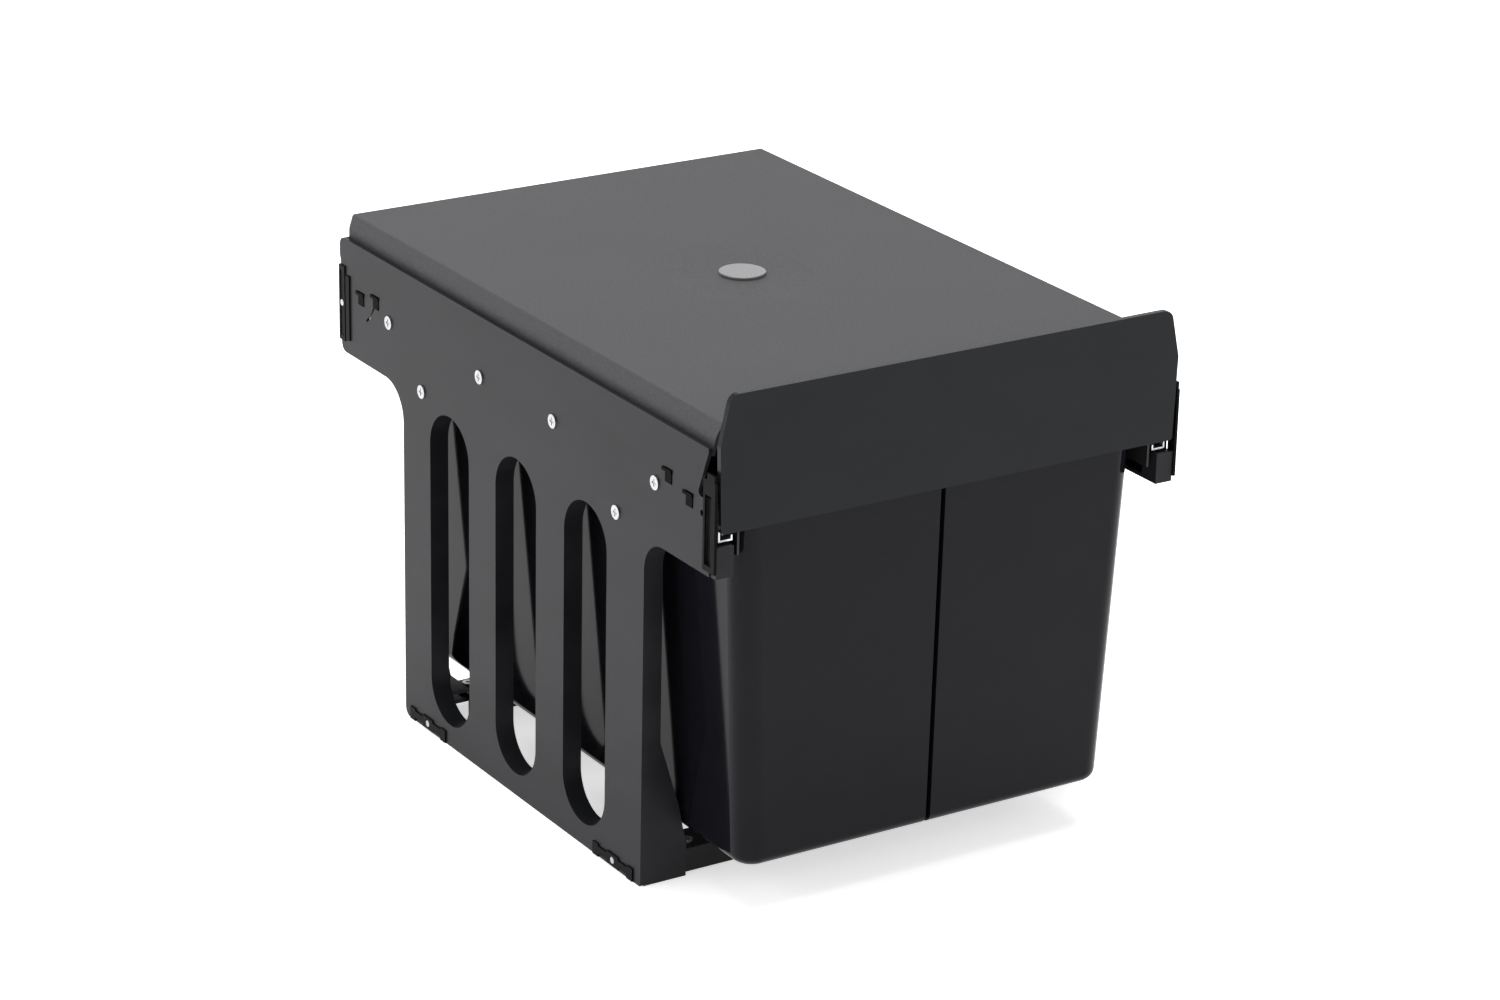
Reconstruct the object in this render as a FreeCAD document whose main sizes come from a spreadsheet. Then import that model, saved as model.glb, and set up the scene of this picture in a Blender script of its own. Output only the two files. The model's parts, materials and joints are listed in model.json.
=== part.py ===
import FreeCAD, Part
import Sketcher
import math
import os
import re

V = FreeCAD.Vector
doc = FreeCAD.newDocument("pull_out_bins")

# A pull-out bin unit for a kitchen cupboard: two moulded side panels joined by two floor channels
# and a cover, ball-bearing slides, and a carriage with two bins behind a front panel.
# +X is right, +Y is towards the back, +Z is up. The origin is the middle of the footprint, on the
# cupboard floor. Everything on the left is drawn, and the right side is its mirror image.

# ---------------------------------------------------------------- driving dimensions, millimetres
sheet = doc.addObject("Spreadsheet::Sheet", "dims")
cells = {
    # whole unit
    "side_face": 170.5, "front_face": -240, "top_edge": 351, "rear_end": 240,
    # side panel outline, in Y and Z
    "panel_rear": 238.6, "rear_step": 303, "panel_front": -232.5, "rim_level": 316, "band_level": 235.5,
    "column_rear": 151, "column_front": -158.5, "skin": 2.5, "panel_depth": 13.5,
    "throat_rear": 25, "throat_front": 21, "notch_level": 283.5, "notch_rear": -218,
    "wall_hole": 4, "wall_hole_along": 223.8, "wall_hole_level": 273.5,
    "end_block_rear": -224, "end_block_front": -238.5, "end_block_top": 255.5,
    "slit_middle_along": 216.9, "slit_middle_level": 290.4, "slit_radius": 27.8, "slit_width": 1.8,
    # slots in the side panel
    "slot_width": 52.6, "slot_pitch": 87.8, "slot_bottom": 15.5, "slot_top": 234.8,
    # feet and floor channels
    "foot_reach": 33.5, "foot_level": 22, "gusset_level": 96, "tab_top": 14,
    "channel_top": 17, "channel_width": 28, "channel_wall": 2.2, "channel_half": 136.5,
    "foot_screw_across": 129,
    # slides
    "slide_level": 275, "slide_height": 36, "slide_gap": 2.4, "slide_width": 12.7, "sheet_steel": 1.2,
    "slide_front": -234.5, "slide_rear": 178, "screw_outer": 170.3, "screw_inner": 47,
    "low_screw": 125, "low_screw_level": 240.6, "screw_head": 9.2, "screw_shank": 4.2,
    "clip_head": 4.4, "clip_pilot": 2.9,
    "ball_size": 3.2, "race_gap": 0.05,
    # cover
    "cover_half": 165.5, "cover_rear": 235.7, "cover_front": -231.5, "cover_level": 331,
    "cover_sheet": 2.2, "cover_flange": 22, "cover_knee": 9, "cover_lean": 3, "cover_crease": 1.6,
    "knee_round": 12, "badge_size": 31, "badge_behind": 4,
    # bins
    "bin_top": 301, "bin_floor": 30.5, "bin_side_top": 149.6, "bin_side_floor": 137.2,
    "bin_front_top": -230.5, "bin_front_floor": -226, "bin_rear_top": 174, "bin_rear_floor": 166,
    "bin_corner": 15, "bin_round": 8, "bin_seam": 3.4, "bin_wall": 2,
    # front panel
    "front_sheet": 3, "front_bottom": 264, "front_shoulder": 319.5, "front_half": 168.5,
    "front_top_half": 161.5, "front_low_half": 167, "front_return": 3.8,
}
for row, (alias, size) in enumerate(cells.items(), start=1):
    sheet.set(f"A{row}", alias.replace("_", " "))
    sheet.set(f"B{row}", str(size))
    sheet.setAlias(f"B{row}", alias)
doc.recompute()

nodes = []


# ---------------------------------------------------------------- helpers
def formula(text):
    """Point every word of a formula at the cell of that name."""
    return re.sub(r"\b[a-z]\w+", lambda word: "dims." + word.group(0), str(text))


def value(text):
    result = sheet.evalExpression(re.sub(r"\bdims\.", "", formula(text)))
    return float(getattr(result, "Value", result))


def place(thing, x="0", y="0", z="0"):
    for axis, text in zip("xyz", (x, y, z)):
        thing.setExpression(f"Placement.Base.{axis}", formula(text))


def keep(thing, label):
    """Give a finished sub-part its label and list it for export."""
    thing.Label = label
    nodes.append(thing)
    return thing


def block(name, x, y, z):
    """Box between two formulas on each axis."""
    box = doc.addObject("Part::Box", name)
    for size, (low, high) in zip(("Length", "Width", "Height"), (x, y, z)):
        box.setExpression(size, formula(f"({high}) - ({low})"))
    place(box, x[0], y[0], z[0])
    return box


TURNS = {
    "x": FreeCAD.Rotation(V(0, 1, 0), 90),
    "y": FreeCAD.Rotation(V(1, 0, 0), -90),
    "z": FreeCAD.Rotation(),
}


def rod(name, axis, start, across, length):
    """Cylinder from a start point along +X, +Y or +Z; across is its diameter."""
    cylinder = doc.addObject("Part::Cylinder", name)
    cylinder.setExpression("Radius", formula(f"({across}) / 2"))
    cylinder.setExpression("Height", formula(length))
    cylinder.Placement = FreeCAD.Placement(V(0, 0, 0), TURNS[axis])
    place(cylinder, *start)
    return cylinder


def fuse(name, parts):
    joined = doc.addObject("Part::MultiFuse", name)
    joined.Shapes = parts
    joined.Refine = True
    return joined


def cut(name, base, tools):
    removed = doc.addObject("Part::Cut", name)
    removed.Base = base
    removed.Tool = tools[0] if len(tools) == 1 else fuse(name + "_tools", tools)
    removed.Refine = True
    return removed


def group(name, parts):
    """Separate solids that make one node."""
    together = doc.addObject("Part::Compound", name)
    together.Links = parts
    return together


def mirrored(name, source):
    other = doc.addObject("Part::Mirroring", name)
    other.Source = source
    other.Base = V(0, 0, 0)
    other.Normal = V(1, 0, 0)
    return other


def pair(kind, left):
    """Label a left-hand piece and make and label its right-hand twin."""
    keep(left, "left_" + kind)
    keep(mirrored("right_" + kind + "_mirror", left), "right_" + kind)


def rounded(name, base, radius, wanted):
    """Fillet the edges of base for which wanted(edge) is true."""
    doc.recompute()
    smooth = doc.addObject("Part::Fillet", name)
    smooth.Base = base
    smooth.Edges = [
        (number, radius, radius)
        for number, edge in enumerate(base.Shape.Edges, start=1)
        if wanted(edge)
    ]
    return smooth


# Sketch plane roles: what the sketch's own two axes are in the assembly
PLANES = {"YZ": "YZ_Plane", "XZ": "XZ_Plane", "XY": "XY_Plane"}


def new_body(name):
    return doc.addObject("PartDesign::Body", name)


def new_sketch(body, name, plane, offset="0"):
    """Sketch on the body's own plane, moved along that plane's normal by offset."""
    sketch = body.newObject("Sketcher::SketchObject", name)
    for feature in body.Origin.OriginFeatures:
        if feature.Role == PLANES[plane]:
            sketch.AttachmentSupport = [(feature, "")]
    sketch.MapMode = "FlatFace"
    sketch.setExpression("AttachmentOffset.Base.z", formula(offset))
    return sketch


def tie(sketch, text, *constraint):
    number = sketch.addConstraint(Sketcher.Constraint(*constraint, value(text)))
    sketch.setExpression(f"Constraints[{number}]", formula(text))


def fix_point(sketch, item, end, across, up):
    tie(sketch, across, "DistanceX", -1, 1, item, end)
    tie(sketch, up, "DistanceY", -1, 1, item, end)


def outline(sketch, corners):
    """Closed outline through corners (across, up, radius), each a formula; radius 0 is sharp."""
    points = [V(value(across), value(up), 0) for across, up, radius in corners]
    radii = [value(radius) for across, up, radius in corners]
    count = len(points)
    entry, exit_, middle = [], [], []
    for here in range(count):
        back = (points[here - 1] - points[here]).normalize()
        ahead = (points[(here + 1) % count] - points[here]).normalize()
        half = back.getAngle(ahead) / 2
        reach = radii[here] / math.tan(half)
        entry.append(points[here] + back * reach)
        exit_.append(points[here] + ahead * reach)
        inward = (back + ahead).normalize()
        middle.append(points[here] + inward * (radii[here] / math.sin(half) - radii[here]))
    first = sketch.GeometryCount
    for here in range(count):
        sketch.addGeometry(Part.LineSegment(exit_[here], entry[(here + 1) % count]), False)
    for here in range(count):
        line_in = first + (here - 1) % count
        line_out = first + here
        if radii[here] == 0:
            sketch.addConstraint(Sketcher.Constraint("Coincident", line_in, 2, line_out, 1))
            fix_point(sketch, line_out, 1, corners[here][0], corners[here][1])
            continue
        # a sketch's arcs turn anticlockwise, so one that turns the other way is drawn backwards
        turn = (middle[here] - entry[here]).cross(exit_[here] - middle[here]).z
        forward = turn > 0
        ends = (entry[here], exit_[here]) if forward else (exit_[here], entry[here])
        arc = sketch.addGeometry(Part.Arc(ends[0], middle[here], ends[1]), False)
        sketch.addConstraint(Sketcher.Constraint("Tangent", line_in, 2, arc, 1 if forward else 2))
        sketch.addConstraint(Sketcher.Constraint("Tangent", line_out, 1, arc, 2 if forward else 1))
        tip = sketch.addGeometry(Part.Point(points[here]), True)
        sketch.addConstraint(Sketcher.Constraint("PointOnObject", tip, 1, line_in))
        sketch.addConstraint(Sketcher.Constraint("PointOnObject", tip, 1, line_out))
        fix_point(sketch, tip, 1, corners[here][0], corners[here][1])
        tie(sketch, corners[here][2], "Radius", arc)


def upright_slot(name, x, middle, margin):
    """Round-ended upright solid through the panel: the slot itself, grown by margin."""
    half = f"(slot_width / 2 + {margin})"
    ends = ("slot_bottom + slot_width / 2", "slot_top - slot_width / 2")
    parts = [block(name + "_middle", x, (f"{middle} - {half}", f"{middle} + {half}"), ends)]
    for end, level in zip(("low", "high"), ends):
        parts.append(rod(f"{name}_{end}", "x", (x[0], middle, level), f"2 * {half}",
                         f"({x[1]}) - ({x[0]})"))
    return fuse(name + "_solid", parts)


def pad(body, sketch, length, reverse=False):
    feature = body.newObject("PartDesign::Pad", sketch.Name + "_pad")
    feature.Profile = sketch
    feature.setExpression("Length", formula(length))
    feature.Reversed = reverse
    return feature


def pocket(body, sketch, length, reverse=False):
    feature = body.newObject("PartDesign::Pocket", sketch.Name + "_pocket")
    feature.Profile = sketch
    feature.setExpression("Length", formula(length))
    feature.Reversed = reverse
    return feature


def prism(name, plane, offset, corners, length, reverse=False):
    """Body with one padded outline."""
    body = new_body(name)
    sketch = new_sketch(body, name + "_outline", plane, offset)
    outline(sketch, corners)
    pad(body, sketch, length, reverse)
    return body


# ---------------------------------------------------------------- side panels
LEFT_FACE = "-side_face"
INNER_SKIN = "-side_face + skin"
FLANGE_EDGE = "-side_face + panel_depth"
SLOT_MIDDLES = ("slot_pitch", "0", "-slot_pitch")
SLIDE_BACK = "-side_face + skin + slide_gap"
UPPER_SCREWS = ("screw_outer", "screw_inner", "-screw_inner", "-screw_outer")
LOWER_SCREWS = ("low_screw", "-low_screw")
slide_screws = ([(y, "slide_level") for y in UPPER_SCREWS]
                + [(y, "low_screw_level") for y in LOWER_SCREWS])


def panel_shell():
    """T-shaped moulding: a flat skin with flanges turned in round its edge and its slots."""
    body = new_body("panel_shell")
    skin = new_sketch(body, "panel_outline", "YZ", LEFT_FACE)
    outline(skin, [
        ("rear_end", "rim_level", "6"), ("rear_end", "rear_step", "1.2"),
        ("panel_rear", "rear_step - 4", "1.2"), ("panel_rear", "band_level", "6"),
        ("column_rear", "band_level", "throat_rear"), ("column_rear", "0", "6"),
        ("column_front", "0", "1.5"), ("column_front", "band_level", "throat_front"),
        ("panel_front", "band_level", "0"), ("panel_front", "notch_level", "0"),
        ("notch_rear", "notch_level", "3"), ("panel_front + 2.5", "rim_level - 3", "2.4"),
        ("panel_front + 2.5", "rim_level", "0.6"),
    ])
    pad(body, skin, "panel_depth")
    hollow = new_sketch(body, "panel_hollow", "YZ", FLANGE_EDGE)
    outline(hollow, [
        ("panel_front - 20", "end_block_top", "0"), ("panel_front - 20", "rim_level + 9", "0"),
        ("panel_rear - skin", "rim_level + 9", "0"),
        ("panel_rear - skin", "band_level + skin", "3.5"),
        ("column_rear - skin", "band_level + skin", "throat_rear + skin"),
        ("column_rear - skin", "skin", "3.5"), ("column_front + skin", "skin", "1"),
        ("column_front + skin", "band_level + skin", "throat_front + skin"),
        ("end_block_rear", "band_level + skin", "0"), ("end_block_rear", "end_block_top", "0"),
    ])
    pocket(body, hollow, "panel_depth - skin")
    return body


def foot(name, face, inward):
    """Gusseted foot at one end of the panel; face is its outer plane, inward is +1 or -1 in Y."""
    reach = f"{FLANGE_EDGE} + foot_reach - panel_depth"
    wall = prism(name + "_gusset", "XZ", f"-({face})", [
        (INNER_SKIN, "0", "0"), (reach, "0", "0"), (reach, "foot_level", "0"),
        (f"{reach} - 6", "foot_level + 28", "8"), (FLANGE_EDGE, "gusset_level", "0"),
        (INNER_SKIN, "gusset_level", "0")], "skin", reverse=inward > 0)
    span = [face, f"{face} + {inward} * channel_width"]
    tab_span = [f"{face} + {inward} * 6", f"{face} + {inward} * 24"]
    if inward < 0:
        span.reverse()
        tab_span.reverse()
    plate = block(name + "_plate", (INNER_SKIN, reach), span, ("foot_level - skin", "foot_level"))
    tab = block(name + "_tab", (INNER_SKIN, f"{reach} + 17"), tab_span, ("tab_top - 3", "tab_top"))
    return [wall, plate, tab]


FRONT_FOOT_SCREW = "column_front + 12"
REAR_FOOT_SCREW = "column_rear - 12"
FRONT_CLIP_MIDDLE = "column_front + 33"
REAR_CLIP_MIDDLE = "column_rear - 32.5"
CLIP_WINDOW_Y = ("-235.3", "-228.4")
CLIP_WINDOW_Z = ("242.8", "287.3")
CLIP_SCREWS = (("236", "270"), (FRONT_CLIP_MIDDLE, "5"), (REAR_CLIP_MIDDLE, "5"))


def curved_slit():
    """Curved cut in the skin that runs down and back from the rear pair of snap tabs."""
    depth = "skin + 1.01"
    start = (f"{LEFT_FACE} - 1", "slit_middle_along", "slit_middle_level")
    ring = cut("slit_ring", rod("slit_outer", "x", start, "2 * slit_radius + slit_width", depth),
               [rod("slit_inner", "x", start, "2 * slit_radius - slit_width", depth)])
    reach = block("slit_reach", (start[0], f"{LEFT_FACE} + skin + 0.01"), ("191", "202.4"),
                  ("266", "279.5"))
    slit = doc.addObject("Part::MultiCommon", "slit")
    slit.Shapes = [ring, reach]
    return slit


def side_panel():
    parts = [panel_shell()]
    parts += foot("front_foot", "column_front", 1)
    parts += foot("rear_foot", "column_rear", -1)
    parts.append(block("end_block", (f"{LEFT_FACE} + 1", FLANGE_EDGE),
                       ("end_block_front", "end_block_rear"), ("band_level", "end_block_top")))
    for number, middle in enumerate(SLOT_MIDDLES):
        parts.append(upright_slot(f"tunnel_{number}", (LEFT_FACE, FLANGE_EDGE), middle, "skin"))
    for number, (y, z) in enumerate(slide_screws):
        parts.append(rod(f"boss_{number}", "x", (INNER_SKIN, y, z), "12", "slide_gap"))
    holes = [rod(f"screw_hole_{number}", "x", (f"{LEFT_FACE} - 1", y, z), "screw_shank",
                 "skin + slide_gap + 2") for number, (y, z) in enumerate(slide_screws)]
    holes += [upright_slot(f"slot_{number}", (f"{LEFT_FACE} - 1", f"{FLANGE_EDGE} + 1"), middle, "0")
              for number, middle in enumerate(SLOT_MIDDLES)]
    # empty hole in line with the slide's screws, and the pilot holes of the clips' screws
    holes.append(rod("wall_hole", "x", (f"{LEFT_FACE} - 1", "-wall_hole_along", "wall_hole_level"),
                     "wall_hole", "skin + 2"))
    for number, (y, z) in enumerate(CLIP_SCREWS):
        holes.append(rod(f"clip_pilot_{number}", "x", (f"{LEFT_FACE} - 1", y, z), "clip_pilot",
                         "skin + 1.01"))
    for name, y in (("tab_hole_front", FRONT_FOOT_SCREW), ("tab_hole_rear", REAR_FOOT_SCREW)):
        holes.append(rod(name, "z", ("-foot_screw_across", y, "tab_top - 4"), "screw_shank", "5"))
    holes += [block(f"snap_window_{number}", (f"{LEFT_FACE} - 1", f"{INNER_SKIN} + 0.01"),
                    (f"{y} - 4.3", f"{y} + 4.3"), (f"{z} - 4.8", f"{z} + 4.8"))
              for number, (y, z) in enumerate(SNAP_TABS)]
    holes.append(curved_slit())
    # the panel is hollowed behind the window of the front clip
    holes.append(block("clip_pocket", (f"{LEFT_FACE} - 1", f"{LEFT_FACE} + 1.6"),
                       ("panel_front - 4", CLIP_WINDOW_Y[1]), CLIP_WINDOW_Z))
    return cut("left_panel_cut", fuse("left_panel_fuse", parts), holes)


# Windows for the snap tabs of the cover brackets: the front pair, then the rear pair
SNAP_TABS = (("-209.5", "277.4"), ("-185.5", "284.5"), ("188.5", "283.5"), ("209.5", "280"))
pair("side_panel", side_panel())


# ---------------------------------------------------------------- floor channels
def floor_channel(name, low, high, screw):
    """Inverted channel between the feet, with its two screw holes."""
    half = "channel_half"
    top = ("channel_top - channel_wall", "channel_top")
    parts = [
        block(name + "_top", (f"-{half}", half), (low, high), top),
        block(name + "_front", (f"-{half}", half), (low, f"{low} + channel_wall"), ("1", "channel_top")),
        block(name + "_back", (f"-{half}", half), (f"{high} - channel_wall", high), ("1", "channel_top")),
    ]
    for side, sign in (("left", "-"), ("right", "")):
        parts.append(block(f"{name}_{side}_rib", (f"{sign}100 - 1.1", f"{sign}100 + 1.1"),
                           (low, high), ("3", "channel_top")))
    holes = [rod(f"{name}_{side}_hole", "z", (f"{sign}foot_screw_across", screw, "tab_top - 1"),
                 "screw_shank", "6") for side, sign in (("left", "-"), ("right", ""))]
    return cut(name + "_cut", fuse(name + "_fuse", parts), holes)


keep(floor_channel("front_channel", "column_front + skin + 0.2",
                   "column_front + channel_width + 0.5", FRONT_FOOT_SCREW), "front_floor_channel")
keep(floor_channel("rear_channel", "column_rear - channel_width - 0.5",
                   "column_rear - skin - 0.2", REAR_FOOT_SCREW), "rear_floor_channel")


# ---------------------------------------------------------------- screws
def headed_screw(name, axis, tip, head, shank, length, thick, cross=True):
    """Pan-head screw: tip is the outer face of the head, the shank runs on along +axis."""
    step = {"x": V(1, 0, 0), "z": V(0, 0, 1)}[axis]
    head_rod = rod(name + "_head", axis, tip, head, thick)
    run = [f"{text} + {step[number]:.0f} * ({thick})" for number, text in enumerate(tip)]
    parts = [head_rod, rod(name + "_shank", axis, run, shank, length)]
    body = fuse(name + "_fuse", parts)
    if not cross:
        return body
    arm, width, deep = f"({head}) * 0.27", "0.6", "0.5"
    x, y, z = tip
    tools = [
        block(name + "_slot_a", (f"{x} - 0.1", f"{x} + {deep}"), (f"{y} - {arm}", f"{y} + {arm}"),
              (f"{z} - {width}", f"{z} + {width}")),
        block(name + "_slot_b", (f"{x} - 0.1", f"{x} + {deep}"), (f"{y} - {width}", f"{y} + {width}"),
              (f"{z} - {arm}", f"{z} + {arm}")),
    ]
    return cut(name + "_cross", body, tools)


left_screws = [headed_screw(f"slide_screw_{number}", "x", (f"{LEFT_FACE} - 1", y, z), "screw_head",
                            "screw_shank - 0.1", "skin + slide_gap + sheet_steel + 0.3", "1")
               for number, (y, z) in enumerate(slide_screws)]
left_screw_group = group("left_slide_screw_group", left_screws)
pair("slide_screws", left_screw_group)


def foot_screw(name, x, y):
    head = rod(name + "_head", "z", (x, y, "channel_top"), "7.5", "2")
    shank = rod(name + "_shank", "z", (x, y, "tab_top - 3"), "screw_shank - 0.1", "channel_top - tab_top + 3")
    recess = rod(name + "_recess", "z", (x, y, "channel_top + 1.2"), "3", "1")
    return cut(name + "_cut", fuse(name + "_fuse", [head, shank]), [recess])


foot_screws = [foot_screw(f"foot_screw_{side}_{end}", f"{sign}foot_screw_across", y)
               for side, sign in (("left", "-"), ("right", ""))
               for end, y in (("front", FRONT_FOOT_SCREW), ("rear", REAR_FOOT_SCREW))]
keep(group("foot_screw_group", foot_screws), "foot_screws")



# ---------------------------------------------------------------- fixing clips
def front_clip():
    """Clip over the front edge of the panel, with a long recess for a wall screw."""
    outer = block("front_clip_plate", (f"{LEFT_FACE} - 1", f"{LEFT_FACE} - 0.05"),
                  ("-239.6", "-226.3"), ("239", "297"))
    edge = block("front_clip_edge", (f"{LEFT_FACE} - 0.5", f"{LEFT_FACE} + 0.9"),
                 ("-239.6", "panel_front - 0.1"), ("239", "297"))
    lug = block("front_clip_lug", (f"{LEFT_FACE} - 1", f"{LEFT_FACE} + 0.9"),
                ("-238.6", "-230.5"), ("297", "301.5"))
    whole = fuse("front_clip_fuse", [outer, edge, lug])
    recess = block("front_clip_recess", (f"{LEFT_FACE} - 1.1", f"{LEFT_FACE} + 0.5"),
                   CLIP_WINDOW_Y, CLIP_WINDOW_Z)
    hole = rod("front_clip_hole", "x", (f"{LEFT_FACE} - 1.1", "-234.1", "266.3"), "2.6", "4")
    return cut("front_clip_cut", whole, [recess, hole])


def rear_clip():
    """Clip over the back edge of the panel: a recessed strip with a screw and a raised strip."""
    strip = block("rear_clip_strip", (f"{LEFT_FACE} - 1", f"{LEFT_FACE} - 0.05"),
                  ("232", "rear_end"), ("243.5", "296.5"))
    edge = block("rear_clip_edge", (f"{LEFT_FACE} - 0.5", f"{INNER_SKIN} - 0.3"),
                 ("panel_rear + 0.05", "rear_end"), ("243.5", "296.5"))
    rail = block("rear_clip_rail", (f"{LEFT_FACE} - 1", f"{LEFT_FACE} - 0.05"),
                 ("225.5", "230.4"), ("245.5", "291"))
    web = block("rear_clip_web", (f"{LEFT_FACE} - 0.45", f"{LEFT_FACE} - 0.05"),
                ("230", "232.4"), ("248", "288"))
    recess = block("rear_clip_recess", (f"{LEFT_FACE} - 1.1", f"{LEFT_FACE} - 0.5"),
                   ("233.6", "238.4"), ("247", "293"))
    whole = fuse("rear_clip_fuse", [strip, edge, rail, web])
    hole = rod("rear_clip_hole", "x", (f"{LEFT_FACE} - 1.1", *CLIP_SCREWS[0]), "clip_pilot", "3.5")
    return cut("rear_clip_cut", whole, [recess, hole])


def floor_clip(name, middle):
    """Clip on the bottom edge of the panel, seen as a bar with drooping ends."""
    face = (f"{LEFT_FACE} - 1", f"{LEFT_FACE} - 0.05")
    parts = [
        block(name + "_bar", face, (f"{middle} - 24.5", f"{middle} + 24.5"), ("2.6", "7.6")),
        block(name + "_boss", face, (f"{middle} - 7", f"{middle} + 7"), ("1", "9.4")),
    ]
    for end, sign in (("a", "-"), ("b", "+")):
        parts.append(block(f"{name}_lug_{end}", face, (f"{middle} {sign} 21 - 3.5",
                     f"{middle} {sign} 21 + 3.5"), ("0.2", "9")))
    holes = [rod(name + "_hole", "x", (f"{LEFT_FACE} - 1.1", middle, "5"), "clip_pilot", "1.5"),
             rod(name + "_seat", "x", (f"{LEFT_FACE} - 1.1", middle, "5"), "clip_head + 0.4", "0.6")]
    return cut(name + "_cut", fuse(name + "_fuse", parts), holes)


pair("front_wall_clip", front_clip())
pair("rear_wall_clip", rear_clip())
pair("front_floor_clip", floor_clip("front_floor_clip", FRONT_CLIP_MIDDLE))
pair("rear_floor_clip", floor_clip("rear_floor_clip", REAR_CLIP_MIDDLE))

clip_screws = [fuse(f"clip_screw_{number}", [
    rod(f"clip_screw_head_{number}", "x", (f"{LEFT_FACE} - 0.95", y, z), "clip_head", "0.45"),
    rod(f"clip_screw_shank_{number}", "x", (f"{LEFT_FACE} - 0.5", y, z), "clip_pilot - 0.1",
        "skin + 0.5")])
    for number, (y, z) in enumerate(CLIP_SCREWS)]
pair("clip_screws", group("clip_screw_group", clip_screws))


# ---------------------------------------------------------------- cover and its brackets
def cover_bracket(name, low, high, tabs):
    """Leg behind the panel's skin with a seat for the cover and snap tabs through the windows."""
    leg = (f"{INNER_SKIN} + 0.2", f"{INNER_SKIN} + 1.8")
    seat = ("cover_level - cover_flange - 2.5", "cover_level - cover_flange - 0.3")
    parts = [
        block(name + "_leg", leg, (low, high), ("slide_level - 2", seat[1])),
        block(name + "_seat", (leg[0], f"{FLANGE_EDGE} - 2"), (low, high), seat),
        block(name + "_rib", (leg[0], f"{FLANGE_EDGE} - 4"), (f"{low} + 14", f"{low} + 16.5"),
              ("slide_level + slide_height / 2 + 2", seat[1])),
    ]
    for number, (y, z) in enumerate(tabs):
        parts.append(block(f"{name}_tab_{number}", (f"{LEFT_FACE} - 0.4", f"{INNER_SKIN} + 1"),
                           (f"{y} - 3.7", f"{y} + 3.7"), (f"{z} - 4.2", f"{z} + 4.2")))
        parts.append(block(f"{name}_hook_{number}", (f"{LEFT_FACE} - 0.9", f"{LEFT_FACE} - 0.05"),
                           (f"{y} - 3.7", f"{y} + 7"), (f"{z} + 2", f"{z} + 4.2")))
    return fuse(name + "_fuse", parts)


pair("front_cover_bracket", cover_bracket("front_bracket", "-217", "-180", SNAP_TABS[:2]))
pair("rear_cover_bracket", cover_bracket("rear_bracket", "183", "217", SNAP_TABS[2:]))


def top_cover():
    """Sheet with its two long sides creased and bent down, hollowed a little round the badge."""
    flange_level = "cover_level - cover_flange"
    inner, under = "cover_half - cover_sheet", "cover_level - cover_sheet"
    knee, knee_inside = "cover_level - cover_knee", "cover_level - cover_knee - 0.4"
    crease, crease_inside = "cover_half - cover_lean", "cover_half - cover_lean - 1.6"
    sheet_body = prism("cover_shell", "XZ", "-cover_rear", [
        ("-cover_half", flange_level, "0"), ("-cover_half", knee, "knee_round"),
        (f"-({crease})", "cover_level", "cover_crease"), (crease, "cover_level", "cover_crease"),
        ("cover_half", knee, "knee_round"), ("cover_half", flange_level, "0"),
        (inner, flange_level, "0"), (inner, knee_inside, "knee_round - cover_sheet"),
        (crease_inside, under, "0"), (f"-({crease_inside})", under, "0"),
        (f"-({inner})", knee_inside, "knee_round - cover_sheet"), (f"-({inner})", flange_level, "0")],
        "cover_rear - cover_front")
    slant = prism("cover_slant", "YZ", "-cover_half - 5", [
        ("cover_front - 1", f"{flange_level} - 1", "0"), ("cover_front - 1", f"{under} - 1", "0"),
        ("cover_front", f"{under} - 1", "0"), ("cover_front + 6", f"{flange_level} - 1", "0")],
        "2 * cover_half + 10")
    dish = doc.addObject("Part::Cone", "cover_dish")
    dish.setExpression("Radius1", formula("badge_size / 2 + 1"))
    dish.setExpression("Radius2", formula("badge_size * 2"))
    dish.Height = 0.9
    place(dish, "0", "badge_behind", "cover_level - 0.9")
    return cut("cover_cut", sheet_body, [slant, dish])


keep(top_cover(), "top_cover")
badge = rod("badge_disc", "z", ("0", "badge_behind", "cover_level - 0.9"), "badge_size", "2")
keep(rounded("badge_round", badge, 0.7, lambda edge: edge.Curve.TypeId == "Part::GeomCircle"
             and edge.CenterOfMass.z > value("cover_level")), "cover_badge")


# ---------------------------------------------------------------- slides
SLIDE_LENGTH = ("slide_front", "slide_rear")
HALF = "slide_height / 2"
OUTER_BALL = f"{HALF} - sheet_steel - ball_size / 2 - race_gap"
MIDDLE_HALF = f"{HALF} - sheet_steel - ball_size - 2 * race_gap"
INNER_BALL = f"{MIDDLE_HALF} - sheet_steel - ball_size / 2 - race_gap"
INNER_HALF = f"{MIDDLE_HALF} - sheet_steel - ball_size - 2 * race_gap"
INNER_FACE = f"{SLIDE_BACK} + slide_width"


def both_races(name, x, near, far, y=SLIDE_LENGTH):
    """Matching boxes above and below the slide's middle, between two heights from it."""
    return [
        block(name + "_upper", x, y, (f"slide_level + {near}", f"slide_level + {far}")),
        block(name + "_lower", x, y, (f"slide_level - ({far})", f"slide_level - ({near})")),
    ]


def rail_across(start, end):
    return (f"{SLIDE_BACK} + {start}", f"{SLIDE_BACK} + {end}")


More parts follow.
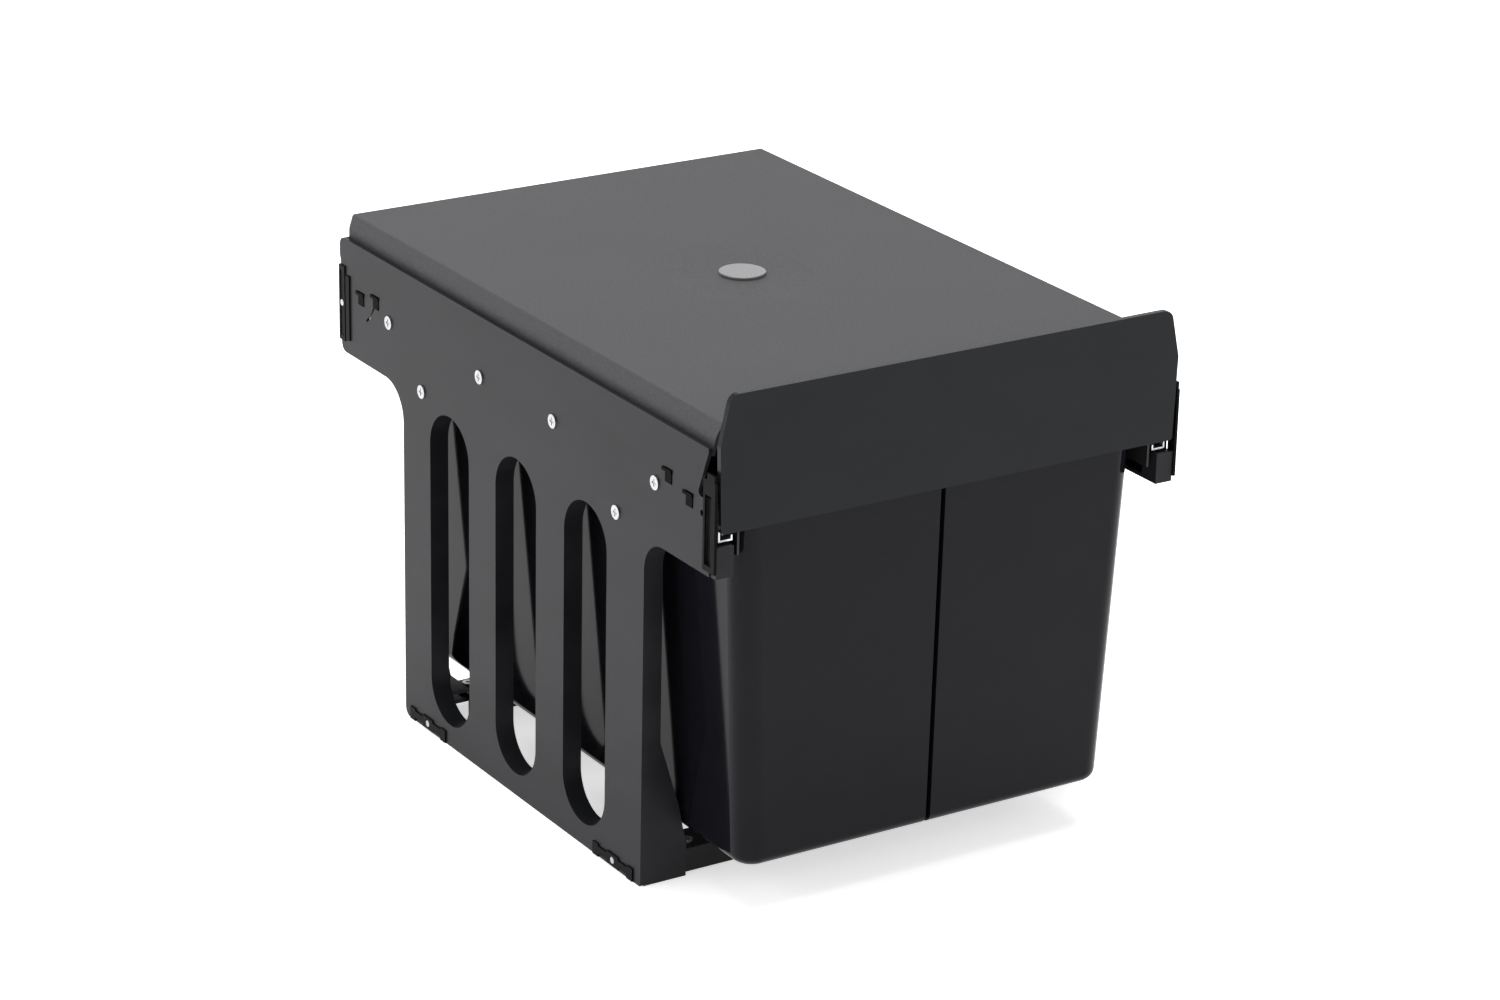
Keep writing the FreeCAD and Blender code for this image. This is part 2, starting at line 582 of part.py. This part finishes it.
def outer_rail():
    level = (f"slide_level - {HALF}", f"slide_level + {HALF}")
    parts = [block("outer_web", rail_across("0", "sheet_steel"), SLIDE_LENGTH, level)]
    parts += both_races("outer_race", rail_across("0", "10"), f"{HALF} - sheet_steel", HALF)
    parts += both_races("outer_lip", rail_across("8.8", "10"), f"{HALF} - 3.6", HALF)
    for number, y in enumerate(LOWER_SCREWS):
        parts.append(block(f"outer_ear_{number}", rail_across("0", "sheet_steel"),
                           (f"{y} - 9", f"{y} + 9"), ("band_level + 3.6", "slide_level")))
    holes = [rod(f"outer_hole_{number}", "x", (f"{SLIDE_BACK} - 1", y, z), "screw_shank", "4")
             for number, (y, z) in enumerate(slide_screws)]
    holes.append(rod("outer_wall_hole", "x", (f"{SLIDE_BACK} - 1", "-wall_hole_along",
                                              "wall_hole_level"), "screw_shank", "4"))
    return cut("outer_rail_cut", fuse("outer_rail_fuse", parts), holes)


def middle_rail():
    parts = [block("middle_web", rail_across("2.6", "3.8"), SLIDE_LENGTH,
                   (f"slide_level - ({MIDDLE_HALF})", f"slide_level + {MIDDLE_HALF}"))]
    parts += both_races("middle_race", rail_across("2.6", "11"), f"{MIDDLE_HALF} - sheet_steel", MIDDLE_HALF)
    return fuse("middle_rail_fuse", parts)


CARRIER_SCREWS = ("-150", "-10", "130")


def inner_rail():
    """Innermost rail, with the tab that meets the soft-close damper."""
    parts = [block("inner_web", rail_across("11.5", "slide_width"), SLIDE_LENGTH,
                   (f"slide_level - ({INNER_HALF})", f"slide_level + {INNER_HALF}"))]
    parts += both_races("inner_race", rail_across("6", "slide_width"), f"{INNER_HALF} - sheet_steel",
                        INNER_HALF)
    parts.append(block("inner_tab", rail_across("11.5", "slide_width"), ("60", "68"),
                       ("249", "slide_level")))
    holes = [rod(f"inner_hole_{number}", "x", (f"{SLIDE_BACK} + 11", y, "slide_level"),
                 "screw_shank", "3") for number, y in enumerate(CARRIER_SCREWS)]
    return cut("inner_rail_cut", fuse("inner_rail_fuse", parts), holes)


BALL_PLACES = [f"{5 + 18 * step}" for step in range(-3, 4)]


def ball_cage(name, across, ball_level):
    """Two strips that space one set of balls, above and below the slide's middle."""
    strips = both_races(name + "_strip", (f"{across} - 2.2", f"{across} + 2.2"),
                        f"({ball_level}) - 0.4", f"({ball_level}) + 0.4", ("-58", "68"))
    pockets = []
    for side, sign in (("up", "+"), ("down", "-")):
        pockets += [rod(f"{name}_pocket_{side}_{number}", "z",
                        (across, y, f"slide_level {sign} ({ball_level}) - 2"), "ball_size + 0.3", "4")
                    for number, y in enumerate(BALL_PLACES)]
    return cut(name + "_cut", group(name + "_strips", strips), pockets)


def balls(name, across, ball_level):
    spheres = []
    for side, sign in (("up", "+"), ("down", "-")):
        for number, y in enumerate(BALL_PLACES):
            sphere = doc.addObject("Part::Sphere", f"{name}_{side}_{number}")
            sphere.setExpression("Radius", formula("ball_size / 2"))
            place(sphere, across, y, f"slide_level {sign} ({ball_level})")
            spheres.append(sphere)
    return group(name + "_group", spheres)


pair("outer_rail", outer_rail())
pair("middle_rail", middle_rail())
pair("inner_rail", inner_rail())
for ring, across, ball_level in (("outer", f"{SLIDE_BACK} + 5.6", OUTER_BALL),
                                 ("inner", f"{SLIDE_BACK} + 8.6", INNER_BALL)):
    pair(ring + "_ball_cage", ball_cage(ring + "_cage", across, ball_level))
    pair(ring + "_balls", balls(ring + "_ball", across, ball_level))


# ---------------------------------------------------------------- soft-close dampers
def damper_body():
    """Plastic housing on the panel below the slide, with a slot for its slider."""
    box = block("damper_box", (f"{INNER_SKIN} + 0.3", "-157.6"), ("-40", "96"), ("240.5", "254.5"))
    track = block("damper_track", ("-163", "-157"), ("-36", "82"), ("244.5", "251"))
    bore = rod("damper_bore", "y", ("-160.6", "40", "247.7"), "4", "60")
    return cut("damper_cut", box, [track, bore])


def damper_slider():
    """Slider with its piston rod, parked at the closed end of the slot."""
    slide = block("slider_block", ("-162.6", "-157.9"), ("54", "72"), ("244.9", "250.6"))
    pawl = block("slider_pawl", ("-158.5", "-154.7"), ("69.5", "72"), ("246", "249.5"))
    piston = rod("slider_piston", "y", ("-160.6", "72", "247.7"), "2.4", "20")
    return fuse("slider_fuse", [slide, pawl, piston])


pair("damper_housing", damper_body())
pair("damper_slider", damper_slider())


# ---------------------------------------------------------------- bins
def tapered_tub(name, inset, corner, bottom_round):
    """Solid tub as wide as both bins, narrower at the floor, with rounded corners and bottom."""
    wedge = doc.addObject("Part::Wedge", name + "_wedge")
    wedge.Placement = FreeCAD.Placement(V(0, 0, 0), FreeCAD.Rotation(V(1, 0, 0), 90))
    floor_level = f"bin_floor + {inset}"
    # turned like this, the wedge's Y is up and its Z is forwards
    wedge.setExpression("Ymin", formula(floor_level))
    wedge.setExpression("Ymax", formula("bin_top"))
    for end, digit in (("floor", ""), ("top", "2")):
        wedge.setExpression(f"X{digit}min", formula(f"-(bin_side_{end} - {inset})"))
        wedge.setExpression(f"X{digit}max", formula(f"bin_side_{end} - {inset}"))
        wedge.setExpression(f"Z{digit}min", formula(f"-(bin_rear_{end} - {inset})"))
        wedge.setExpression(f"Z{digit}max", formula(f"-(bin_front_{end} + {inset})"))
    upright = rounded(name + "_corners", wedge, value(corner),
                      lambda edge: edge.BoundBox.ZLength > 100)
    return rounded(name + "_bottom", upright, value(bottom_round),
                   lambda edge: edge.BoundBox.ZMax < value(floor_level) + 0.01)


def half_tub(name, inset, corner, bottom_round):
    """The part of the tub on the left of the seam."""
    other_half = block(name + "_other_half", (f"-(bin_seam / 2 + {inset})", "bin_side_top + 10"),
                       ("bin_front_top - 10", "bin_rear_top + 10"), ("bin_floor - 10", "bin_top + 10"))
    return cut(name + "_half", tapered_tub(name, inset, corner, bottom_round), [other_half])


def waste_bin():
    rim = prism("bin_rim", "XY", "bin_top - 2.5", [
        ("-153.4", "bin_front_top - 5", "bin_corner + 4"), ("-0.5", "bin_front_top - 5", "3"),
        ("-0.5", "bin_rear_top + 5", "3"), ("-153.4", "bin_rear_top + 5", "bin_corner + 4")], "2.5")
    outside = half_tub("bin_outside", "0", "bin_corner", "bin_round")
    inside = half_tub("bin_inside", "bin_wall", "bin_corner - bin_wall", "bin_round - 1.5")
    return cut("bin_cut", fuse("bin_fuse", [outside, rim]), [inside])


pair("bin", waste_bin())


# ---------------------------------------------------------------- carriage
FRAME_TOP = "bin_top - 2.5"
FRAME_LOW = "slide_level - 11"
SIDE_BAR = (INNER_FACE, "-bin_side_top - 0.4")
BRACKET_END = "-198"
BACK_OF_FRONT = "front_face + front_sheet"


def bin_carrier():
    """Frame that hangs between the slides and carries the bins by their rims."""
    level = (FRAME_LOW, FRAME_TOP)
    front = (f"{BACK_OF_FRONT} + 1.6", "bin_front_top - 0.5")
    rear = ("bin_rear_top + 0.6", "bin_rear_top + 5.5")
    span = (f"-({SIDE_BAR[1]})", f"-({INNER_FACE})")
    parts = [
        block("carrier_left", SIDE_BAR, (front[0], rear[1]), level),
        block("carrier_right", span, (front[0], rear[1]), level),
        block("carrier_front", (INNER_FACE, span[1]), front, ("slide_level - 6", FRAME_TOP)),
        block("carrier_rear", (INNER_FACE, span[1]), rear, level),
    ]
    tools = []
    for side, sign in (("left", 1), ("right", -1)):
        thin = (f"{INNER_FACE} - 1", f"{INNER_FACE} + 1.6")
        corner = (f"{INNER_FACE} - 1", "-124")
        if sign < 0:
            thin, corner = [tuple(f"-({text})" for text in reversed(ends)) for ends in (thin, corner)]
        tools.append(block(f"carrier_{side}_thin", thin, (f"{front[0]} - 1", BRACKET_END),
                           (f"{FRAME_LOW} - 1", f"{FRAME_TOP} + 1")))
        tools.append(block(f"carrier_{side}_corner", corner, (f"{front[0]} - 1", f"{front[0]} + 2.6"),
                           (f"{FRAME_LOW} - 1", f"{FRAME_TOP} + 1")))
        for number, y in enumerate(CARRIER_SCREWS):
            shank_start = f"{INNER_FACE} - 1" if sign > 0 else f"-({INNER_FACE}) - 5"
            head_start = f"{SIDE_BAR[1]} - 1.7" if sign > 0 else f"-({SIDE_BAR[1]}) - 1"
            tools.append(rod(f"carrier_{side}_hole_{number}", "x", (shank_start, y, "slide_level"),
                             "screw_shank", "6"))
            tools.append(rod(f"carrier_{side}_seat_{number}", "x", (head_start, y, "slide_level"),
                             "7.4", "2.7"))
    return cut("carrier_cut", fuse("carrier_fuse", parts), tools)


keep(bin_carrier(), "bin_carrier")
carrier_screws = [fuse(f"carrier_screw_{number}", [
    rod(f"carrier_screw_head_{number}", "x", (f"{SIDE_BAR[1]} - 1.6", y, "slide_level"), "7", "1.5"),
    rod(f"carrier_screw_shank_{number}", "x", (f"{INNER_FACE} - sheet_steel", y, "slide_level"),
        "screw_shank - 0.1", f"{SIDE_BAR[1]} - 1.6 - ({INNER_FACE}) + sheet_steel")])
    for number, y in enumerate(CARRIER_SCREWS)]
pair("carrier_screws", group("carrier_screw_group", carrier_screws))


def panel_bracket():
    """Steel angle from the inner rail to the back of the front panel."""
    flange = (BACK_OF_FRONT, f"{BACK_OF_FRONT} + 1.5")
    plate = (INNER_FACE, f"{INNER_FACE} + 1.5")
    above_rim = "front_bottom + 3.4"
    parts = [
        block("bracket_plate", plate, (flange[1], BRACKET_END), ("slide_level - 10", "slide_level + 10")),
        block("bracket_corner", plate, (flange[0], flange[1]), (above_rim, "slide_level + 10")),
        block("bracket_flange", (INNER_FACE, "-126"), flange, (above_rim, "slide_level + 24")),
        block("bracket_foot", plate, (flange[1], "-206"), ("247", "slide_level - 9")),
    ]
    holes = [rod(f"bracket_hole_{number}", "y", (x, f"{BACK_OF_FRONT} - 1", z), "screw_shank", "4")
             for number, (x, z) in enumerate(PANEL_SCREWS)]
    return cut("bracket_cut", fuse("bracket_fuse", parts), holes)


PANEL_SCREWS = (("-146", "slide_level + 18"), ("-133", "slide_level + 18"))
pair("panel_bracket", panel_bracket())
panel_screws = [fuse(f"panel_screw_{number}", [
    rod(f"panel_screw_head_{number}", "y", (x, f"{BACK_OF_FRONT} + 1.5", z), "7.6", "1.6"),
    rod(f"panel_screw_shank_{number}", "y", (x, f"{BACK_OF_FRONT} - 2", z), "screw_shank - 0.1", "3.6")])
    for number, (x, z) in enumerate(PANEL_SCREWS)]
pair("panel_screws", group("panel_screw_group", panel_screws))


def front_outline(top, top_half, shoulder, shoulder_half, low, low_half):
    """Corners of the front panel's outline, from the right bottom round to the left bottom."""
    return [
        (low_half, low, "2"), (shoulder_half, shoulder, "4"), (top_half, top, "7"),
        (f"-({top_half})", top, "7"), (f"-({shoulder_half})", shoulder, "4"),
        (f"-({low_half})", low, "2"),
    ]


def front_panel():
    """Plate with slanted top corners and a shallow rim turned back round its edge."""
    body = new_body("front_panel_body")
    face = new_sketch(body, "front_plate", "XZ", f"-({BACK_OF_FRONT})")
    outline(face, front_outline("top_edge", "front_top_half", "front_shoulder", "front_half",
                                "front_bottom", "front_low_half"))
    pad(body, face, "front_sheet")
    ring = new_sketch(body, "front_rim", "XZ", f"-({BACK_OF_FRONT})")
    outline(ring, front_outline("top_edge", "front_top_half", "front_shoulder", "front_half",
                                "front_bottom", "front_low_half"))
    outline(ring, front_outline("top_edge - 2.4", "front_top_half - 1.8", "front_shoulder - 0.5",
                                "front_half - 2.4", "front_bottom + 2.4", "front_low_half - 2.5"))
    pad(body, ring, "front_return - front_sheet", reverse=True)
    holes = [rod(f"front_hole_{side}_{number}", "y", (f"{sign}({x})", f"{BACK_OF_FRONT} - 2.1", z),
                 "screw_shank", "3")
             for side, sign in (("left", ""), ("right", "-")) for number, (x, z) in enumerate(PANEL_SCREWS)]
    return cut("front_panel_cut", body, holes)


keep(front_panel(), "front_panel")


# ---------------------------------------------------------------- check and write out
doc.recompute()
faults = [f"{thing.Label}: {thing.State}" for thing in doc.Objects
          if {"Invalid", "Error"} & set(thing.State)]
faults += [f"{thing.Label}: bad shape" for thing in nodes
           if thing.Shape.isNull() or not thing.Shape.isValid() or not thing.Shape.Solids]
if faults:
    raise RuntimeError("; ".join(faults))
os.makedirs("parts", exist_ok=True)
for thing in nodes:
    thing.Shape.exportStep(f"parts/{thing.Label}.step")
    print(thing.Label, len(thing.Shape.Solids), round(thing.Shape.Volume))
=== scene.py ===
import json
import math

import bmesh
import bpy
from mathutils import Matrix, Vector


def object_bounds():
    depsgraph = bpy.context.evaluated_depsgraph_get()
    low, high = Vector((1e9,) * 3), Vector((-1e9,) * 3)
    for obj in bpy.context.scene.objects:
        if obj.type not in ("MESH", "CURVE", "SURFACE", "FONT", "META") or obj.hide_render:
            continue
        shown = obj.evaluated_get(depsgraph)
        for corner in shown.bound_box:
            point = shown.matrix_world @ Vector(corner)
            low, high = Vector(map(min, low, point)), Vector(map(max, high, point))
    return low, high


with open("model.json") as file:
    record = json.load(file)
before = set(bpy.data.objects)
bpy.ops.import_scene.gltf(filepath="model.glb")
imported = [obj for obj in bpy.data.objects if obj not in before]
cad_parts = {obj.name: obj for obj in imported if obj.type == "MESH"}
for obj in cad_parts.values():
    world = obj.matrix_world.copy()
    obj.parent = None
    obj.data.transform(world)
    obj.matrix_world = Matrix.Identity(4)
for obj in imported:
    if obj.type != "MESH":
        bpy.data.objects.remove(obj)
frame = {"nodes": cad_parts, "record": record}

# Pull-out bin unit for a kitchen cupboard. The CAD nodes keep their shapes. This script gives them
# small edge rounds and procedural materials, and adds the floor, lights and camera.
MM = 0.001
CAD_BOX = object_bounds()
NODES = frame["nodes"]


# ---------------------------------------------------------------- materials
# Sizes of the surface features, in metres
FLOW_MARKS, FLOW_DEPTH = 0.045, 0.0003
MOULD_GRAIN, MOULD_DEPTH = 0.0007, 0.00002
BIN_GRAIN, BIN_DEPTH = 0.0012, 0.000006
ROLLING_MARKS, ROLLING_DEPTH = 0.0009, 0.00002
ZINC_PATCHES = 0.011
PEEL_GRAIN, PEEL_DEPTH = 0.0011, 0.00006
BROAD_PATCHES = 0.09
ALONG_SLIDE = (1, 0.04, 1)      # stretches marks out along Y
NO_STRETCH = (1, 1, 1)


def new_material(name, colour, roughness, metallic=0.0, specular=0.5, coat=0.0, coat_roughness=0.05):
    """Material with its uniform values set on the shader's own sockets."""
    material = bpy.data.materials.new(name)
    material.use_nodes = True
    shader = material.node_tree.nodes["Principled BSDF"]
    shader.inputs["Base Color"].default_value = (*colour, 1)
    shader.inputs["Roughness"].default_value = roughness
    shader.inputs["Metallic"].default_value = metallic
    shader.inputs["Specular IOR Level"].default_value = specular
    shader.inputs["Coat Weight"].default_value = coat
    shader.inputs["Coat Roughness"].default_value = coat_roughness
    return material, material.node_tree, shader


def position(tree, stretch=NO_STRETCH):
    """Object coordinates in metres, stretched along the axes."""
    place = tree.nodes.new("ShaderNodeTexCoord")
    mapping = tree.nodes.new("ShaderNodeMapping")
    mapping.inputs["Scale"].default_value = stretch
    tree.links.new(place.outputs["Object"], mapping.inputs["Vector"])
    return mapping.outputs["Vector"]


def noise(tree, grain, stretch=NO_STRETCH, detail=2.0):
    """Noise whose features are about grain metres across."""
    texture = tree.nodes.new("ShaderNodeTexNoise")
    texture.inputs["Scale"].default_value = 1 / grain
    texture.inputs["Detail"].default_value = detail
    tree.links.new(position(tree, stretch), texture.inputs["Vector"])
    return texture.outputs["Fac"]


def ramp(tree, source, low, high, start=0.3, stop=0.7):
    """Colour between low and high as source goes from start to stop."""
    node = tree.nodes.new("ShaderNodeValToRGB")
    node.color_ramp.elements[0].position = start
    node.color_ramp.elements[0].color = (*low, 1)
    node.color_ramp.elements[1].position = stop
    node.color_ramp.elements[1].color = (*high, 1)
    tree.links.new(source, node.inputs["Fac"])
    return node.outputs["Color"]


def spread(tree, source, low, high):
    """Number between low and high as source goes from 0 to 1."""
    node = tree.nodes.new("ShaderNodeMapRange")
    node.inputs["To Min"].default_value = low
    node.inputs["To Max"].default_value = high
    tree.links.new(source, node.inputs["Value"])
    return node.outputs["Result"]


def bumps(tree, shader, layers):
    """Stack bump layers, each (height source, depth in metres, strength)."""
    normal = None
    for source, depth, strength in layers:
        bump = tree.nodes.new("ShaderNodeBump")
        bump.inputs["Distance"].default_value = depth
        bump.inputs["Strength"].default_value = strength
        tree.links.new(source, bump.inputs["Height"])
        if normal:
            tree.links.new(normal, bump.inputs["Normal"])
        normal = bump.outputs["Normal"]
    tree.links.new(normal, shader.inputs["Normal"])


def shade(colour, factor):
    """Colour made darker or lighter by a factor."""
    return tuple(channel * factor for channel in colour)


def moulded(name, colour, roughness, specular, mottle=0.1, coat=0.0, grain=MOULD_GRAIN,
            depth=MOULD_DEPTH):
    """Injection-moulded plastic: fine surface grain, faint flow marks, uneven gloss."""
    material, tree, shader = new_material(name, colour, roughness, specular=specular, coat=coat)
    flow = noise(tree, FLOW_MARKS, stretch=(1, 0.5, 1.6), detail=3)
    fine = noise(tree, grain)
    tree.links.new(ramp(tree, flow, shade(colour, 1 - mottle), shade(colour, 1 + mottle)),
                   shader.inputs["Base Color"])
    tree.links.new(spread(tree, flow, roughness * 0.88, roughness * 1.12), shader.inputs["Roughness"])
    bumps(tree, shader, [(fine, depth, 0.35), (flow, FLOW_DEPTH, 0.12)])
    return material


def plated(name, colour, roughness, stretch=NO_STRETCH, metallic=1.0):
    """Plated steel with fine marks and faint patches of uneven plating."""
    material, tree, shader = new_material(name, colour, roughness, metallic=metallic)
    marks = noise(tree, ROLLING_MARKS, stretch, detail=3)
    patches = noise(tree, ZINC_PATCHES)
    tree.links.new(ramp(tree, patches, shade(colour, 0.86), shade(colour, 1.06)),
                   shader.inputs["Base Color"])
    tree.links.new(spread(tree, marks, roughness * 0.8, roughness * 1.25), shader.inputs["Roughness"])
    bumps(tree, shader, [(marks, ROLLING_DEPTH, 0.3)])
    return material


def textured_sheet(name, colour, roughness):
    """Powder-coated sheet: an orange-peel grain over a faint, broad unevenness."""
    material, tree, shader = new_material(name, colour, roughness, specular=0.08)
    peel = noise(tree, PEEL_GRAIN, detail=3)
    broad = noise(tree, BROAD_PATCHES)
    tree.links.new(ramp(tree, peel, shade(colour, 0.82), shade(colour, 1.18)),
                   shader.inputs["Base Color"])
    tree.links.new(spread(tree, broad, roughness * 0.94, roughness * 1.06), shader.inputs["Roughness"])
    bumps(tree, shader, [(peel, PEEL_DEPTH, 0.5)])
    return material


MATERIALS = {
    # name: moulded(name, colour, roughness, specular, ...)
    "panel_plastic": moulded("panel_plastic", (0.0145, 0.0147, 0.0172), 0.36, 0.125, mottle=0.24),
    "front_plastic": moulded("front_plastic", (0.0095, 0.0107, 0.0127), 0.24, 0.125, mottle=0.06),
    "bin_plastic": moulded("bin_plastic", (0.006, 0.0056, 0.0078), 0.08, 0.107, mottle=0.08,
                           grain=BIN_GRAIN, depth=BIN_DEPTH),
    "clip_plastic": moulded("clip_plastic", (0.003, 0.003, 0.0034), 0.34, 0.035),
    "bracket_plastic": moulded("bracket_plastic", (0.002, 0.002, 0.0023), 0.45, 0.02),
    "carrier_plastic": moulded("carrier_plastic", (0.004, 0.004, 0.0045), 0.4, 0.08),
    "channel_plastic": moulded("channel_plastic", (0.008, 0.008, 0.009), 0.38, 0.15),
    "damper_plastic": moulded("damper_plastic", (0.03, 0.03, 0.032), 0.4, 0.25),
    "slider_plastic": moulded("slider_plastic", (0.15, 0.15, 0.16), 0.35, 0.3),
    "cage_plastic": moulded("cage_plastic", (0.5, 0.5, 0.47), 0.4, 0.3),
    "badge_plastic": moulded("badge_plastic", (0.1, 0.101, 0.102), 0.16, 0.5, coat=0.3),
    "cover_sheet": textured_sheet("cover_sheet", (0.075, 0.0742, 0.078), 0.6),
    # name: plated(name, colour, roughness, ...)
    "rail_steel": plated("rail_steel", (0.62, 0.63, 0.65), 0.3, ALONG_SLIDE),
    "screw_zinc": plated("screw_zinc", (0.5, 0.5, 0.51), 0.3),
    "ball_steel": plated("ball_steel", (0.82, 0.82, 0.83), 0.08),
    "bracket_steel": plated("bracket_steel", (0.012, 0.012, 0.013), 0.45, metallic=0.3),
}

for row in frame["record"]["subparts"]:
    mesh = NODES[row["node"]].data
    mesh.materials.clear()
    mesh.materials.append(MATERIALS[row["material_slot"]])


# ---------------------------------------------------------------- edge rounds on the CAD nodes
SHARPEST_KEPT = math.radians(38)      # edges that turn by less than this stay as they are
# Width of the round in millimetres, by the first of these names that is part of the node's name
EDGE_ROUNDS = {
    "side_panel": 0.9, "wall_clip": 0.25, "floor_clip": 0.25, "top_cover": 0.35, "front_panel": 0.7,
    "bin": 0.6, "carrier": 0.4, "channel": 0.5, "slide_screws": 0.3, "clip_screws": 0.12,
    "foot_screws": 0.3, "rail": 0.2, "cover_bracket": 0.25, "damper": 0.4, "panel_bracket": 0.3,
    "carrier_screws": 0.2, "panel_screws": 0.2,
}


def soften(node, width):
    """Round the sharp edges of a node with a modifier, which leaves its mesh as it is."""
    bevel = node.modifiers.new("edge rounds", "BEVEL")
    bevel.width = width * MM
    bevel.segments = 3
    bevel.limit_method = "ANGLE"
    bevel.angle_limit = SHARPEST_KEPT
    bevel.use_clamp_overlap = True
    bevel.harden_normals = False
    smooth = node.modifiers.new("weighted normals", "WEIGHTED_NORMAL")
    smooth.keep_sharp = True


for name, node in NODES.items():
    for polygon in node.data.polygons:
        polygon.use_smooth = True
    kind = next((key for key in EDGE_ROUNDS if key in name), None)
    if kind:
        soften(node, EDGE_ROUNDS[kind])


# ---------------------------------------------------------------- floor, light and camera
MIDDLE = (CAD_BOX[0] + CAD_BOX[1]) / 2
FLOOR_FRONT, FLOOR_BACK, FLOOR_SIDE = -6.0, 5.0, 9.0
FLOOR_RISE, FLOOR_TURN, TURN_STEPS = 4.0, 1.2, 16
FLOOR_GLOW = 0.6        # keeps the floor pale in the shadow under the object
FLOOR_CLOUDS = 1.5


def floor_sheet():
    """Pale floor that curves up behind the object."""
    start = FLOOR_BACK - FLOOR_TURN
    profile = [(FLOOR_FRONT, 0.0), (start, 0.0)]
    for step in range(1, TURN_STEPS + 1):
        angle = math.pi / 2 * step / TURN_STEPS
        profile.append((start + FLOOR_TURN * math.sin(angle), FLOOR_TURN * (1 - math.cos(angle))))
    profile.append((FLOOR_BACK, FLOOR_RISE))
    mesh = bmesh.new()
    rows = [[mesh.verts.new((x, y, z)) for y, z in profile] for x in (-FLOOR_SIDE, FLOOR_SIDE)]
    for number in range(len(profile) - 1):
        mesh.faces.new((rows[0][number], rows[1][number], rows[1][number + 1], rows[0][number + 1]))
    data = bpy.data.meshes.new("floor")
    mesh.to_mesh(data)
    mesh.free()
    floor = bpy.data.objects.new("floor", data)
    bpy.context.scene.collection.objects.link(floor)
    for polygon in data.polygons:
        polygon.use_smooth = True
    material, tree, shader = new_material("floor", (0.93, 0.93, 0.93), 0.75, specular=0.1)
    shader.inputs["Emission Color"].default_value = (1, 1, 1, 1)
    shader.inputs["Emission Strength"].default_value = FLOOR_GLOW
    cloud = noise(tree, FLOOR_CLOUDS)
    tree.links.new(ramp(tree, cloud, (0.92, 0.92, 0.92), (0.94, 0.94, 0.94)),
                   shader.inputs["Base Color"])
    data.materials.append(material)


def area_light(name, place, size, power):
    """Soft light aimed at the middle of the object; power is in watts."""
    data = bpy.data.lights.new(name, "AREA")
    data.shape = "RECTANGLE"
    data.size, data.size_y = size
    data.energy = power
    light = bpy.data.objects.new(name, data)
    light.location = place
    light.rotation_euler = (MIDDLE - Vector(place)).to_track_quat("-Z", "Y").to_euler()
    bpy.context.scene.collection.objects.link(light)


floor_sheet()
area_light("key", (-3.0, 0.3, 1.7), (1.8, 1.8), 26)
area_light("front", (1.7, -2.6, 1.7), (2.0, 1.6), 22)
area_light("top", (0.2, 0.4, 3.0), (2.4, 2.4), 88)

AMBIENT = 0.35
world = bpy.data.worlds.new("studio")
world.use_nodes = True
world.node_tree.nodes["Background"].inputs["Color"].default_value = (1, 1, 1, 1)
world.node_tree.nodes["Background"].inputs["Strength"].default_value = AMBIENT
bpy.context.scene.world = world
bpy.context.scene.view_settings.view_transform = "Standard"

# The camera looks down at the front left corner
YAW, PITCH, ROLL = (math.radians(angle) for angle in (32.77, 21.06, 1.24))
PLACE = Vector((-1.4633, -2.2843, 1.2190))
LENS, SENSOR = 105.78, 36.0      # millimetres
FAR_LIMIT = 50


def aim():
    """Rotation of a camera that looks along the yaw and pitch and is turned by the roll."""
    ahead = Vector((math.sin(YAW) * math.cos(PITCH), math.cos(YAW) * math.cos(PITCH), -math.sin(PITCH)))
    across = Vector((math.cos(YAW), -math.sin(YAW), 0))
    up = across.cross(ahead)
    right = math.cos(ROLL) * across + math.sin(ROLL) * up
    top = -math.sin(ROLL) * across + math.cos(ROLL) * up
    return Matrix((right, top, -ahead)).transposed()


lens = bpy.data.cameras.new("camera")
lens.lens, lens.sensor_width = LENS, SENSOR
lens.clip_end = FAR_LIMIT
camera = bpy.data.objects.new("camera", lens)
camera.matrix_world = Matrix.Translation(PLACE) @ aim().to_4x4()
bpy.context.scene.collection.objects.link(camera)
bpy.context.scene.camera = camera
